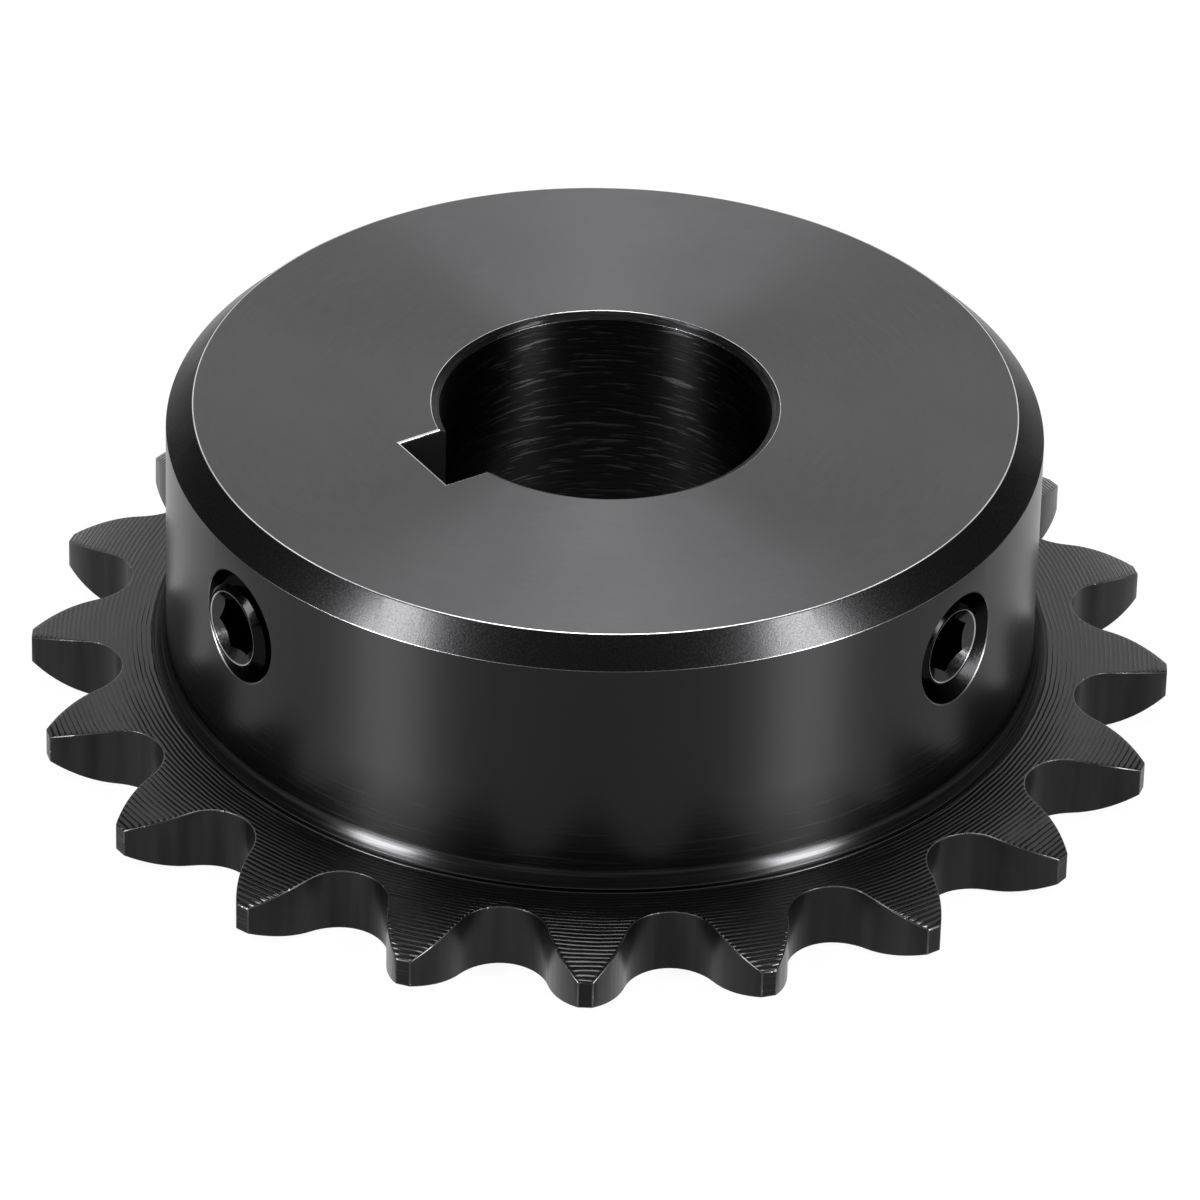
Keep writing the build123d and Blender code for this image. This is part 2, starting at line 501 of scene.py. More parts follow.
def thread_tree():
    """The side of a threaded rod: one strip, a pitch wide, wound up the Z axis."""
    tree = bpy.data.node_groups.new("thread", "GeometryNodeTree")
    graph = Graph(tree)
    inputs = group_inputs(
        tree,
        (
            ("Geometry", "NodeSocketGeometry"),
            ("Turns", "NodeSocketInt"),
            ("Pitch", "NodeSocketFloat"),
            ("Crest radius", "NodeSocketFloat"),
            ("Root radius", "NodeSocketFloat"),
            ("Core radius", "NodeSocketFloat"),
            ("Finish", "NodeSocketInt"),
        ),
    )
    columns = graph.maths("MULTIPLY_ADD", inputs["Turns"], THREAD_SEGMENTS, 1)
    strip = graph.node(
        "GeometryNodeMeshGrid",
        {"Size X": 1.0, "Size Y": 1.0, "Vertices X": columns, "Vertices Y": THREAD_SAMPLES + 1},
    )
    place = graph.node("ShaderNodeSeparateXYZ", {0: graph.node("GeometryNodeInputPosition").outputs[0]})
    along = graph.maths("MULTIPLY", graph.maths("ADD", place.outputs[0], 0.5), inputs["Turns"])
    across = graph.maths("ADD", place.outputs[1], 0.5)
    phase = graph.maths("PINGPONG", across, 0.5)
    slope = graph.node(
        "ShaderNodeMapRange",
        {0: phase, 1: CREST_END, 2: ROOT_START, 3: inputs["Crest radius"], 4: inputs["Root radius"]},
        clamp=True,
    )
    radius = graph.maths("MAXIMUM", slope.outputs[0], inputs["Core radius"])
    turn = graph.maths("MULTIPLY", along, 2 * pi)
    height = graph.maths("MULTIPLY", graph.maths("ADD", along, across), inputs["Pitch"])
    position = graph.vector(
        graph.maths("MULTIPLY", radius, graph.maths("COSINE", turn)),
        graph.maths("MULTIPLY", radius, graph.maths("SINE", turn)),
        height,
    )
    wound = graph.node("GeometryNodeSetPosition", {"Geometry": strip.outputs[0], "Position": position})
    joined = graph.node(
        "GeometryNodeMergeByDistance", {"Geometry": wound.outputs[0], "Distance": MERGE_DISTANCE}
    )
    tagged = graph.node(
        "GeometryNodeStoreNamedAttribute",
        {"Geometry": joined.outputs[0], "Name": "finish"},
        data_type="INT",
        domain="FACE",
    )
    value = next(s for s in tagged.inputs if s.name == "Value" and s.enabled)
    tree.links.new(inputs["Finish"], value)
    solid = graph.node("GeometryNodeRealizeInstances", {"Geometry": tagged.outputs[0]})
    graph.node("NodeGroupOutput", {0: material_chain(graph, solid.outputs[0])})
    return tree


def threaded_rod(name, tree, bottom, top, pitch, crest, root, core, finish):
    """A closed rod with a right-hand thread that reaches past both given heights."""
    made = mesh_object(name, [(0, 0, 0)], [], [])
    turns = int((top - bottom) / pitch) + SPARE_TURNS
    step = made.modifiers.new("thread", "NODES")
    step.node_group = tree
    set_inputs(
        step,
        {
            "Turns": turns,
            "Pitch": pitch,
            "Crest radius": crest,
            "Root radius": root,
            "Core radius": core,
            "Finish": finish_index(finish),
        },
    )
    apply_modifiers(made)
    adopt_finishes(made)
    cap_rod(made, turns, pitch)
    start = round(bottom / pitch - 1) * pitch
    made.data.transform(Matrix.Translation((0, 0, start)))
    tidy(made)
    return made


def cap_rod(made, turns, pitch):
    """Closes both ends of a wound strip with a fan from the axis."""
    shape = bmesh.new()
    shape.from_mesh(made.data)
    middle = turns * pitch / 2
    rims = [edge for edge in shape.edges if edge.is_boundary]
    for height, below in ((pitch, True), (turns * pitch, False)):
        tip = shape.verts.new((0, 0, height))
        for edge in rims:
            if (edge.verts[0].co.z < middle) == below:
                shape.faces.new((edge.verts[0], edge.verts[1], tip))
    shape.to_mesh(made.data)
    shape.free()


# Materials

# Nearly all of a noise lies between these two values
NOISE_LOW = 0.3
NOISE_HIGH = 0.7
QUARTER_TURN = 0.25


def steel(name, base, roughness, anisotropy=0.0, grazing=1.0):
    """A blackened steel to build on: its graph, its shader and the shared coordinates.

    Grazing is how strongly the steel mirrors at a flat angle.
    """
    material = bpy.data.materials.new(name)
    material.diffuse_color = (*base, 1.0)
    graph = blank_graph(material)
    shader = graph.node(
        "ShaderNodeBsdfPrincipled",
        {
            "Base Color": (*base, 1.0),
            "Metallic": 1.0,
            "Roughness": roughness,
            "Anisotropic": anisotropy,
            "Specular Tint": (grazing, grazing, grazing, 1.0),
        },
    )
    graph.node("ShaderNodeOutputMaterial", {"Surface": shader.outputs[0]})
    place = graph.node("ShaderNodeTexCoord").outputs["Object"]
    x, y, z = graph.node("ShaderNodeSeparateXYZ", {0: place}).outputs
    squares = graph.maths("ADD", graph.maths("MULTIPLY", x, x), graph.maths("MULTIPLY", y, y))
    radius = graph.maths("SQRT", squares)
    return SimpleNamespace(
        graph=graph,
        shader=shader,
        place=place,
        radius=radius,
        height=z,
        east=graph.maths("DIVIDE", x, radius),
        north=graph.maths("DIVIDE", y, radius),
    )


def feed(metal, socket, value):
    """Lets a node's value set one of the shader's inputs."""
    metal.graph.tree.links.new(value, metal.shader.inputs[socket])


def along_the_cut(metal):
    """Stretches the highlights across the turning marks, which run round the axis."""
    graph = metal.graph
    tangent = graph.node(
        "ShaderNodeVectorMath", {0: (0.0, 0.0, 1.0), 1: metal.place}, operation="CROSS_PRODUCT"
    )
    level = graph.node("ShaderNodeVectorMath", {0: tangent.outputs[0]}, operation="NORMALIZE")
    feed(metal, "Tangent", level.outputs[0])
    metal.shader.inputs["Anisotropic Rotation"].default_value = QUARTER_TURN


def turned_noise(metal, spacing, streaks, detail=2.0, seed=0.0):
    """Noise drawn out round the axis: fine across the marks, long along them."""
    graph = metal.graph
    vector = graph.vector(
        graph.maths("MULTIPLY", metal.east, streaks),
        graph.maths("MULTIPLY", metal.north, streaks),
        graph.maths("MULTIPLY_ADD", metal.radius, 1 / spacing, seed),
    )
    upwards = graph.maths("DIVIDE", metal.height, spacing)
    noise = graph.node(
        "ShaderNodeTexNoise",
        {"Vector": vector, "W": upwards, "Scale": 1.0, "Detail": detail},
        noise_dimensions="4D",
    )
    return noise.outputs[0]


def upright_noise(metal, spacing, squeeze, detail=3.0):
    """Noise drawn out along the axis, for lines from top to bottom."""
    graph = metal.graph
    stretched = graph.node("ShaderNodeMapping", {"Vector": metal.place, "Scale": (1.0, 1.0, squeeze)})
    inputs = {"Vector": stretched.outputs[0], "Scale": 1 / spacing, "Detail": detail}
    return graph.node("ShaderNodeTexNoise", inputs).outputs[0]


def blotches(metal, spacing, detail=3.0):
    """Plain noise in space."""
    inputs = {"Vector": metal.place, "Scale": 1 / spacing, "Detail": detail}
    return metal.graph.node("ShaderNodeTexNoise", inputs).outputs[0]


def between(graph, value, low, high, start=0.0, end=1.0):
    """Maps a value from one range to another and holds it there."""
    inputs = {0: value, 1: low, 2: high, 3: start, 4: end}
    return graph.node("ShaderNodeMapRange", inputs, clamp=True).outputs[0]


def raise_surface(metal, height, depth, below=None):
    """Adds a relief of this depth in metres on top of an earlier one."""
    inputs = {"Height": height, "Distance": depth, "Strength": 1.0}
    if below is not None:
        inputs["Normal"] = below
    bump = metal.graph.node("ShaderNodeBump", inputs).outputs[0]
    feed(metal, "Normal", bump)
    return bump


def vary_roughness(metal, value, low, high):
    """Lets the gloss follow a noise."""
    feed(metal, "Roughness", between(metal.graph, value, NOISE_LOW, NOISE_HIGH, low, high))


def vary_colour(metal, value, start, end):
    """Lets the colour follow a value from 0 to 1."""
    mix = metal.graph.node("ShaderNodeMix", {0: value}, data_type="RGBA")
    mix.inputs[6].default_value = (*start, 1.0)
    mix.inputs[7].default_value = (*end, 1.0)
    feed(metal, "Base Color", mix.outputs[2])


def tinted(base, factor):
    """The same colour, lighter or darker."""
    return tuple(min(1.0, channel * factor) for channel in base)


def faced_steel(look):
    """The hub's face and the back: fine marks of the facing cut."""
    metal = steel("faced", look.oxide, look.face_roughness, anisotropy=0.86)
    along_the_cut(metal)
    fine = turned_noise(metal, spacing=0.16 * MM, streaks=14.0)
    broad = turned_noise(metal, spacing=0.5 * MM, streaks=9.0, seed=7.0)
    below = raise_surface(metal, broad, depth=0.012 * MM)
    raise_surface(metal, fine, depth=0.0025 * MM, below=below)
    vary_roughness(metal, fine, look.face_roughness - 0.05, look.face_roughness + 0.06)
    clouds = blotches(metal, spacing=9 * MM)
    vary_colour(metal, clouds, tinted(look.oxide, 0.9), tinted(look.oxide, 1.12))


def chamfered_steel(look):
    """The hub's chamfer: a finer cut with a grainy sheen."""
    metal = steel("chamfered", tinted(look.dark_oxide, 1.1), 0.25, anisotropy=0.5, grazing=0.6)
    along_the_cut(metal)
    grain = blotches(metal, spacing=0.1 * MM, detail=4.0)
    fine = turned_noise(metal, spacing=0.12 * MM, streaks=30.0)
    below = raise_surface(metal, fine, depth=0.0025 * MM)
    raise_surface(metal, grain, depth=0.003 * MM, below=below)
    vary_roughness(metal, grain, 0.21, 0.3)


# Between these heights the hub's side turns from painted shade and scratches at its foot to its plain oxide
FOOT_SHADE_AND_SCRATCHES_FROM = 5.0 * MM
FOOT_SHADE_AND_SCRATCHES_TO = 9.5 * MM


def side_steel(look):
    """The hub's side: a smooth cut under a little oil, scratched towards its foot and darker there from
    painted shade.
    """
    unshaded_oxide = tinted(look.dark_oxide, 0.42)
    metal = steel("turned_side", unshaded_oxide, look.side_roughness, anisotropy=0.97, grazing=0.3)
    along_the_cut(metal)
    metal.shader.inputs["Coat Weight"].default_value = 1.0
    metal.shader.inputs["Coat IOR"].default_value = look.oil_index
    metal.shader.inputs["Coat Roughness"].default_value = 0.28
    graph = metal.graph
    marks = turned_noise(metal, spacing=0.2 * MM, streaks=5.0, detail=3.0, seed=9.0)
    scratches = between(graph, marks, low=0.52, high=0.68, end=0.9)
    # Painted shade and scratches: a ramp that is 0 at the foot and 1 higher up the side
    above_shaded_foot = between(graph, metal.height, FOOT_SHADE_AND_SCRATCHES_FROM, FOOT_SHADE_AND_SCRATCHES_TO)
    foot_scratches = graph.maths("MULTIPLY", scratches, graph.maths("SUBTRACT", 1.0, above_shaded_foot))
    below = raise_surface(metal, foot_scratches, depth=0.01 * MM)
    feed(metal, "Coat Normal", below)
    fine = turned_noise(metal, spacing=0.11 * MM, streaks=6.0)
    raise_surface(metal, fine, depth=0.0008 * MM, below=below)
    vary_roughness(metal, fine, look.side_roughness - 0.03, look.side_roughness + 0.03)
    # Painted shade: towards the foot the colour falls to a far darker oxide, and the scratches there stay
    # lighter
    light = graph.maths("MAXIMUM", above_shaded_foot, scratches)
    vary_colour(metal, light, tinted(look.dark_oxide, 0.12), unshaded_oxide)


def fillet_steel(look):
    """The fillet at the hub's foot: the smoothest cut."""
    metal = steel("foot_fillet", look.dark_oxide, 0.24, anisotropy=0.88, grazing=0.5)
    along_the_cut(metal)
    fine = turned_noise(metal, spacing=0.12 * MM, streaks=3.0)
    raise_surface(metal, fine, depth=0.005 * MM)
    streaks = between(metal.graph, fine, low=0.35, high=0.6)
    vary_colour(metal, streaks, tinted(look.dark_oxide, 0.5), tinted(look.dark_oxide, 1.25))


def plate_steel(look):
    """The plate and the crowned teeth: coarse grooves, one for each turn of the cut."""
    metal = steel("turned_plate", tinted(look.oxide, 0.45), 0.2, anisotropy=0.4)
    metal.shader.inputs["Metallic"].default_value = 0.95
    along_the_cut(metal)
    graph = metal.graph
    waver = turned_noise(metal, spacing=2.0 * MM, streaks=9.0, detail=3.0)
    shifted = graph.maths("MULTIPLY_ADD", waver, look.groove_pitch, metal.radius)
    turns = graph.maths("FRACT", graph.maths("DIVIDE", shifted, look.groove_pitch))
    slant = graph.maths("MULTIPLY_ADD", turns, 2.0, -1.0)
    crest = graph.maths("MULTIPLY", slant, slant)
    depths = turned_noise(metal, spacing=0.6 * MM, streaks=7.0, seed=3.0)
    uneven = between(graph, depths, NOISE_LOW, NOISE_HIGH, start=0.5)
    below = raise_surface(metal, graph.maths("MULTIPLY", crest, uneven), look.groove_depth)
    fine = turned_noise(metal, spacing=0.09 * MM, streaks=16.0, seed=5.0)
    raise_surface(metal, fine, depth=0.003 * MM, below=below)
    vary_roughness(metal, fine, 0.15, 0.24)
    vary_colour(metal, crest, tinted(look.oxide, 0.54), tinted(look.oxide, 0.42))


def hobbed_steel(look):
    """The walls of the tooth gaps: fine lines from top to bottom."""
    metal = steel("hobbed", tinted(look.dark_oxide, 0.85), 0.3)
    lines = upright_noise(metal, spacing=0.28 * MM, squeeze=0.04)
    raise_surface(metal, lines, depth=0.006 * MM)
    vary_roughness(metal, lines, 0.27, 0.36)
    bands = upright_noise(metal, spacing=1.3 * MM, squeeze=0.1, detail=2.0)
    contrast = between(metal.graph, bands, low=0.32, high=0.68)
    vary_colour(metal, contrast, tinted(look.dark_oxide, 0.55), look.dark_oxide)


def bored_steel(look):
    """The bore: broken scratches round the wall."""
    metal = steel("bored", look.dark_oxide, 0.36, anisotropy=0.92)
    along_the_cut(metal)
    scratches = turned_noise(metal, spacing=0.18 * MM, streaks=4.0, detail=3.0)
    raise_surface(metal, scratches, depth=0.04 * MM)
    cut = between(metal.graph, scratches, low=0.56, high=0.64)
    vary_colour(metal, cut, tinted(look.dark_oxide, 0.26), tinted(look.dark_oxide, 1.25))


def broached_steel(look):
    """The keyway: lines along the stroke of the broach."""
    metal = steel("broached", tinted(look.dark_oxide, 0.9), 0.38)
    lines = upright_noise(metal, spacing=0.2 * MM, squeeze=0.03)
    raise_surface(metal, lines, depth=0.008 * MM)


def tapped_steel(look):
    """The threads and the countersinks of the tapped holes."""
    metal = steel("tapped", tinted(look.dark_oxide, 0.3), 0.24, grazing=0.3)
    raise_surface(metal, blotches(metal, spacing=0.25 * MM), depth=0.01 * MM)


def line_steel(look):
    """The thin turned lines at the hub's foot: a dull cut."""
    metal = steel("turned_line", tinted(look.dark_oxide, 0.3), 0.5)
    worn = turned_noise(metal, spacing=1.2 * MM, streaks=7.0, detail=3.0, seed=4.0)
    vary_colour(metal, worn, tinted(look.dark_oxide, 0.1), tinted(look.dark_oxide, 0.7))


# How far the oxide has rubbed off each kind of edge
RUBBED_EDGES = {
    "rubbed_edge": {"bare_low": 0.45, "bare_high": 0.95, "specks": 0.95, "roughness": 0.24},
    "worn_edge": {"bare_low": 0.0, "bare_high": 0.1, "specks": 0.8, "roughness": 0.28},
    "chamfer_edge": {"bare_low": 0.1, "bare_high": 0.5, "specks": 0.6, "roughness": 0.26},
    "mouth_edge": {"bare_low": 0.04, "bare_high": 0.16, "specks": 0.4, "roughness": 0.34},
    "screw_edge": {"bare_low": 0.2, "bare_high": 0.6, "specks": 0.6, "roughness": 0.2},
}


def rubbed_steel(look, name, bare_low, bare_high, specks, roughness):
    """An edge where the oxide has rubbed through to bare steel, here more and there less, and in specks."""
    metal = steel(name, look.bare_steel, roughness)
    graph = metal.graph
    patches = turned_noise(metal, spacing=1.2 * MM, streaks=5.0, detail=4.0, seed=2.0)
    rubbed = between(graph, patches, low=0.3, high=0.65, start=bare_low, end=bare_high)
    spots = between(graph, blotches(metal, spacing=0.35 * MM), low=0.66, high=0.72, end=specks)
    vary_colour(metal, graph.maths("MAXIMUM", rubbed, spots), look.dark_oxide, look.bare_steel)


def screw_steel(look, name, factor):
    """The set screws: glossy black oxide, darker on the rolled thread than in the socket."""
    metal = steel(name, tinted(look.screw_oxide, factor), look.screw_roughness, grazing=0.5)
    grain = blotches(metal, spacing=0.3 * MM)
    raise_surface(metal, grain, depth=0.003 * MM)
    vary_roughness(metal, grain, look.screw_roughness - 0.04, look.screw_roughness + 0.1)


def make_finishes():
    """Makes every finish once."""
    look = bpy.context.scene.sprocket_finish
    faced_steel(look)
    chamfered_steel(look)
    side_steel(look)
    fillet_steel(look)
    plate_steel(look)
    hobbed_steel(look)
    bored_steel(look)
    broached_steel(look)
    tapped_steel(look)
    line_steel(look)
    for name, wear in RUBBED_EDGES.items():
        rubbed_steel(look, name, **wear)
    screw_steel(look, "screw_thread", factor=0.16)
    screw_steel(look, "screw_socket", factor=1.0)


# The sprocket's body

def crown_height(derived, radius):
    """How far the plate's faces drop at this radius: the crown is an arc that starts level."""
    if radius <= derived.crown_radius:
        return 0.0
    width = derived.outside_radius - derived.crown_radius
    bend = (width ** 2 + derived.crown_drop ** 2) / (2 * derived.crown_drop)
    return bend - sqrt(bend ** 2 - (radius - derived.crown_radius) ** 2)


# How many steps the arcs of the teeth, the crown and the fillet have
SEAT_STEPS = 9
FLANK_STEPS = 9
LAND_STEPS = 2
PLATE_ROWS = 9
FILLET_STEPS = 8


def half_gap(sizes, derived):
    """Half of a gap's outline, from its middle to the next tooth's: (radius, angle, finish).

    The seating arc comes first, then the flank's arc, which leaves it in line and ends on the corner of
    the tip's land, and then half of the land.
    """
    points = []
    half_seat = sizes.seating_angle / 2
    for step in range(SEAT_STEPS + 1):
        turn = half_seat * step / SEAT_STEPS
        x = derived.pitch_radius - sizes.seating_radius * cos(turn)
        points.append((x, sizes.seating_radius * sin(turn), "hobbed"))
    land_angle = derived.half_pitch - sizes.tip_land / 2 / derived.outside_radius
    start = Vector(points[-1][:2])
    end = Vector((cos(land_angle), sin(land_angle))) * derived.outside_radius
    heading = Vector((sin(half_seat), cos(half_seat)))
    normal = Vector((-heading.y, heading.x))
    chord = end - start
    bend = chord.length_squared / (2 * chord.dot(normal))
    centre = start + normal * bend
    first, last = start - centre, end - centre
    sweep = first.angle_signed(last)
    for step in range(1, FLANK_STEPS + 1):
        spoke = Matrix.Rotation(-sweep * step / FLANK_STEPS, 2) @ first
        points.append((*(centre + spoke), "hobbed"))
    outline = [(hypot(x, y), atan2(y, x), finish) for x, y, finish in points]
    for step in range(1, LAND_STEPS + 1):
        turn = land_angle + (derived.half_pitch - land_angle) * step / LAND_STEPS
        outline.append((derived.outside_radius, turn, "turned_side"))
    return outline


def gap_outline(sizes, derived):
    """One gap's outline, from tooth to tooth, with the finish of the wall after each point."""
    half = half_gap(sizes, derived)
    outline = [(radius, -turn, finish) for radius, turn, finish in reversed(half[1:])]
    for (radius, turn, _), (_, _, finish) in zip(half, half[1:] + half[-1:]):
        outline.append((radius, turn, finish))
    return outline


def hub_profile(sizes, derived, inner_radius):
    """The turned section: from the plate's back through the bore and over the hub to its front."""
    top = OVERALL_LENGTH
    hub = derived.hub_radius
    foot = sizes.plate_thickness + sizes.foot_step
    fillet = sizes.hub_fillet
    edge = sizes.turned_edge_round
    mouth_edge = sizes.mouth_edge_round
    mouth_radius = BORE_RADIUS + sizes.bore_chamfer_width
    mouth_depth = sizes.bore_chamfer_depth
    corners = [
        (inner_radius, 0.0, 0.0, "", "faced"),
        (mouth_radius, 0.0, mouth_edge, "rubbed_edge", "bored"),
        (BORE_RADIUS, mouth_depth, edge, "worn_edge", "bored"),
        (BORE_RADIUS, top - mouth_depth, edge, "worn_edge", "bored"),
        (mouth_radius, top, mouth_edge, "rubbed_edge", "faced"),
        (hub - sizes.hub_chamfer, top, sizes.hub_edge_round, "rubbed_edge", "chamfered"),
        (hub, top - sizes.hub_chamfer, edge, "chamfer_edge", "turned_side"),
    ]
    # The fillet stops where it has run out by its reach
    reach = sizes.fillet_reach / fillet
    last_fall = sqrt(1 - (1 - reach) ** 2)
    for step in range(FILLET_STEPS + 1):
        fall = last_fall * step / FILLET_STEPS
        across = 1 - sqrt(1 - fall ** 2)
        corners.append((hub + fillet * across, foot + fillet * (1 - fall), 0.0, "", "foot_fillet"))
    end_radius, end_height = corners.pop()[:2]
    # A low turned ring lies between it and the plate, with a thin line on each side
    ring = hub + sizes.foot_ring
    line = sizes.foot_step * 2 / 3
    corners += [
        (end_radius, end_height, 0.0, "", "turned_line"),
        (end_radius + line, end_height - line, 0.0, "", "foot_fillet"),
        (end_radius + line, foot, 0.0, "", "foot_fillet"),
        (ring, foot, 0.0, "", "turned_line"),
        (ring + line, foot - line, 0.0, "", "foot_fillet"),
        (ring + sizes.foot_step, sizes.plate_thickness, 0.0, "", "turned_plate"),
        (inner_radius, sizes.plate_thickness, 0.0, "", "turned_plate"),
    ]
    return rounded(corners)


def gap_sector(sizes, derived):
    """The turned blank between two tooth middles, with the gap cut in its rim."""
    inner_radius = (derived.hub_radius + derived.root_radius) / 2 + sizes.foot_step
    profile, profile_finishes = hub_profile(sizes, derived, inner_radius)
    outline = gap_outline(sizes, derived)
    vertices = []
    for radius, turn, _ in outline:
        width = radius - inner_radius
        reaches = [inner_radius + width * row / PLATE_ROWS for row in range(1, PLATE_ROWS + 1)]
        column = [(p.x, p.y) for p in profile]
        column += [(reach, sizes.plate_thickness - crown_height(derived, reach)) for reach in reaches]
        column += [(reach, crown_height(derived, reach)) for reach in reversed(reaches)]
        vertices += [(r * cos(turn), r * sin(turn), z) for r, z in column]
    faces, tags = [], []
    rows = len(profile) + 2 * PLATE_ROWS
    rim = len(profile) + PLATE_ROWS - 1
    for j in range(len(outline) - 1):
        for row in range(rows):
            ahead = (row + 1) % rows
            faces.append((j * rows + row, (j + 1) * rows + row, (j + 1) * rows + ahead, j * rows + ahead))
            if row < len(profile) - 1:
                tags.append(profile_finishes[row])
            elif row == rim:
                tags.append(outline[j][2])
            else:
                tags.append("turned_plate")
    return mesh_object("gap_sector", vertices, faces, tags)


def toothed_blank(sizes, derived):
    """The gap's sector, repeated round the axis."""
    body = gap_sector(sizes, derived)
    step = body.modifiers.new("teeth", "NODES")
    step.node_group = tooth_ring_tree()
    set_inputs(step, {"Teeth": sizes.tooth_count, "Start": sizes.tooth_lead + derived.half_pitch})
    apply_modifiers(body)
    adopt_finishes(body)
    tidy(body)
    return body


def round_tooth_edges(body, sizes, derived):
    """Takes the sharpness off every edge of the teeth."""
    shape = bmesh.new()
    shape.from_mesh(body.data)
    edges = []
    for edge in shape.edges:
        out = min(hypot(*vertex.co.xy) for vertex in edge.verts)
        if out > derived.root_radius - sizes.tooth_edge_round and edge.calc_face_angle(0.0) > SHARP_ANGLE:
            edges.append(edge)
    bmesh.ops.bevel(
        shape,
        geom=edges,
        offset=sizes.tooth_edge_round,
        offset_type="OFFSET",
        segments=2,
        profile=0.5,
        affect="EDGES",
        clamp_overlap=True,
        material=finish_index("worn_edge"),
    )
    shape.to_mesh(body.data)
    shape.free()


def keyway_tool(sizes, derived):
    """The broach: a bar through the bore, flared in two steps where it breaks the edges of both faces."""
    flare = sizes.mouth_edge_round
    waist = flare * (1 - sqrt(0.5))
    low_flare = ((-waist, 2 * flare - waist), (waist, waist), (flare, 0.0))
    high_flare = [(OVERALL_LENGTH - depth, wider) for depth, wider in reversed(low_flare)]
    rings = []
    for height, wider in (*low_flare, *high_flare):
        reach = derived.keyway_reach + wider
        side = sizes.keyway_width / 2 + wider
        corners = ((0.0, -side), (reach, -side), (reach, side), (0.0, side))
        rings.append([(x, y, height) for x, y in corners])
    rubbed = ("rubbed_edge", "rubbed_edge")
    return prism("keyway_tool", rings, (*rubbed, "broached", *rubbed, "rubbed_edge"))


def screw_places(sizes, screws, derived):
    """Name, standing angle, stand-out and socket turn of both set screws."""
    key_angle = sizes.tooth_lead
    side_angle = key_angle + screws.teeth_between * 2 * derived.half_pitch
    return (
        ("key_set_screw", key_angle, screws.key_standout, screws.key_turn),
        ("side_set_screw", side_angle, screws.side_standout, screws.side_turn),
    )


def into_hole(standing_angle, screws, derived):
    """Takes a screw or a tool from the Z axis to its hole. Its Z points out of the hub."""
    out = Vector((cos(standing_angle), sin(standing_angle), 0))
    across = Vector((-sin(standing_angle), cos(standing_angle), 0))
    up = Vector((0, 0, 1))
    return placement(across, up, out, out * derived.hub_radius + up * screws.height)


def screw_length(screws, derived):
    """Both screws are as long as the key screw's place allows."""
    return derived.hub_radius + screws.key_standout - derived.keyway_reach - screws.point_gap


def tap_holes(body, sizes, screws, derived, tree):
    """Cuts the threads and the countersinks of both screw holes."""
    past = screws.thread_pitch
    for name, standing, *_ in screw_places(sizes, screws, derived):
        inner_end = derived.keyway_reach if name == "key_set_screw" else BORE_RADIUS
        depth = derived.hub_radius - inner_end
        rod = threaded_rod(
            f"{name}_tap",
            tree,
            bottom=-depth - past,
            top=past,
            pitch=screws.thread_pitch,
            crest=screws.thread_radius,
            root=screws.thread_radius - screws.thread_depth,
            core=screws.core_radius,
            finish="tapped",
        )
        cone = countersink_tool(f"{name}_countersink", screws, derived)
        for tool in (rod, cone):
            tool.data.transform(into_hole(standing, screws, derived))
            combine(body, tool, "DIFFERENCE")


COUNTERSINK_SIDES = 96
# How often the rim's place on the round hub is worked out again
RIM_PASSES = 4


def countersink_tool(name, screws, derived):
    """A 90 degree countersink on the Z axis that also breaks the edge where it meets the round hub."""
    mouth = screws.thread_radius + screws.countersink
    tip_radius = 10 * MERGE_DISTANCE
    rings = ([], [], [], [])
    for side in range(COUNTERSINK_SIDES):
        turn = 2 * pi * side / COUNTERSINK_SIDES
        rim = mouth
        for _ in range(RIM_PASSES):
            rim = mouth + hub_surface(derived, rim * cos(turn))
        outer = rim + screws.mouth_break / 2
        inner = rim - screws.mouth_break
        section = (
            (tip_radius, -mouth),
            (inner, inner - mouth),
            (outer, hub_surface(derived, outer * cos(turn))),
            (outer, screws.thread_pitch),
        )
        for ring, (radius, height) in zip(rings, section):
            ring.append((radius * cos(turn), radius * sin(turn), height))
    return prism(name, rings, ("tapped", "mouth_edge", "mouth_edge", "tapped"))


def hub_surface(derived, across):
    """Height of the hub's round side at this distance from a screw's axis, where it is 0."""
    return sqrt(derived.hub_radius ** 2 - across ** 2) - derived.hub_radius


class SPROCKET_OT_make_finishes(bpy.types.Operator):
    """Makes the blackened and rubbed steel finishes"""

    bl_idname = "sprocket.make_finishes"
    bl_label = "Make finishes"

    def execute(self, context):
        make_finishes()
        return {"FINISHED"}


class SPROCKET_OT_cut_body(bpy.types.Operator):
    """Turns, hobs, broaches and taps the sprocket's body"""

    bl_idname = "sprocket.cut_body"
    bl_label = "Cut body"

    def execute(self, context):
        sizes, screws = context.scene.sprocket_sizes, context.scene.sprocket_screws
        derived = derive(sizes)
        body = toothed_blank(sizes, derived)
        round_tooth_edges(body, sizes, derived)
        combine(body, keyway_tool(sizes, derived), "DIFFERENCE")
        tap_holes(body, sizes, screws, derived, thread_tree())
        shade(body)
        body.name = "sprocket_body"
        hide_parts("sprocket")
        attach(body, "root")
        return {"FINISHED"}


class SPROCKET_OT_fit_set_screws(bpy.types.Operator):
    """Cuts both set screws and puts them in their holes"""

    bl_idname = "sprocket.fit_set_screws"
    bl_label = "Fit set screws"

    def execute(self, context):
        sizes, screws = context.scene.sprocket_sizes, context.scene.sprocket_screws
        derived = derive(sizes)
        tree = bpy.data.node_groups["thread"]
        for name, standing, standout, socket_turn in screw_places(sizes, screws, derived):
            screw = set_screw(name, screws, derived, tree, standout, socket_turn)
            screw.data.transform(into_hole(standing, screws, derived))
            shade(screw)
            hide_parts(name)
            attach(screw, "root")
        return {"FINISHED"}


SCREW_SIDES = 72


